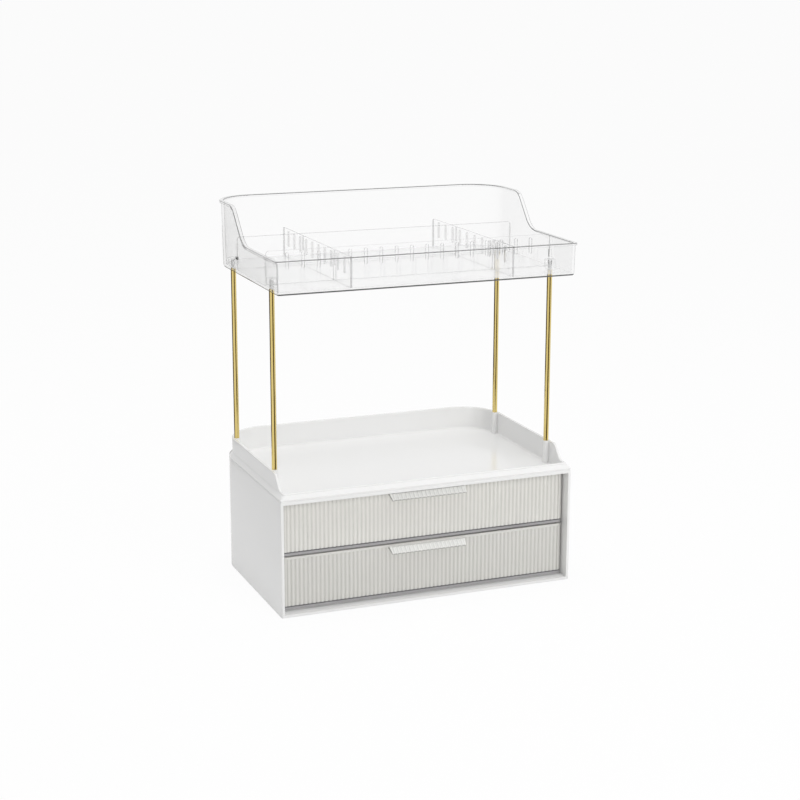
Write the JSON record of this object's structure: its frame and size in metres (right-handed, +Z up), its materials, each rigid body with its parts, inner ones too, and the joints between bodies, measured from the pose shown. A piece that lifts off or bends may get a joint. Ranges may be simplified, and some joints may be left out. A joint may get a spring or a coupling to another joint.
{
  "type": "makeup organizer",
  "caption": "Two-drawer case with round back corners, a rimmed deck tray and a clear divided tray carried above it on slim metal posts.",
  "frame": {"origin": "on the ground, at the centre of the overall footprint", "axes": "+Z up, -Y towards the drawer fronts, +X to the right of someone facing them"},
  "size_m": [0.3002, 0.201, 0.366],
  "materials": {
    "white_plastic": "smooth glossy white moulded plastic",
    "clear_plastic": "clear polished plastic",
    "drawer_plastic": "frosted warm grey translucent plastic, fluted front",
    "gold_metal": "brushed pale gold plating",
    "screw_steel": "zinc plated",
    "white_nylon": "moulded nylon",
    "foot_rubber": "soft grey silicone"
  },
  "bodies": {
    "organizer": {"cabinet_shell": "white_plastic", "deck_tray": "white_plastic", "post_front_left": "gold_metal", "post_front_right": "gold_metal", "post_back_left": "gold_metal", "post_back_right": "gold_metal", "post_inserts": "white_nylon", "post_screws": "screw_steel", "post_studs": "clear_plastic", "clear_tray": "clear_plastic", "foot_pad_front_left": "foot_rubber", "foot_pad_front_right": "foot_rubber", "foot_pad_back_left": "foot_rubber", "foot_pad_back_right": "foot_rubber"},
    "lower_drawer": {"drawer_lower": "drawer_plastic"},
    "upper_drawer": {"drawer_upper": "drawer_plastic"},
    "divider_grid": {"long_divider_left": "clear_plastic", "long_divider_right": "clear_plastic"},
    "front_cross_divider": {"cross_divider_front": "clear_plastic"},
    "back_cross_divider": {"cross_divider_back": "clear_plastic"}
  },
  "joints": [
    {"name": "drawer_lower_slide", "type": "slide", "parent": "organizer", "child": "lower_drawer", "axis": [0, -1, 0], "range_m": [0, 0.14]},
    {"name": "drawer_upper_slide", "type": "slide", "parent": "organizer", "child": "upper_drawer", "axis": [0, -1, 0], "range_m": [0, 0.14]},
    {"name": "divider_grid_lift", "type": "slide", "parent": "organizer", "child": "divider_grid", "axis": [0, 0, 1], "range_m": [0, 0.06]},
    {"name": "cross_front_lift", "type": "slide", "parent": "divider_grid", "child": "front_cross_divider", "axis": [0, 0, 1], "range_m": [0, 0.04]},
    {"name": "cross_back_lift", "type": "slide", "parent": "divider_grid", "child": "back_cross_divider", "axis": [0, 0, 1], "range_m": [0, 0.04]}
  ]
}
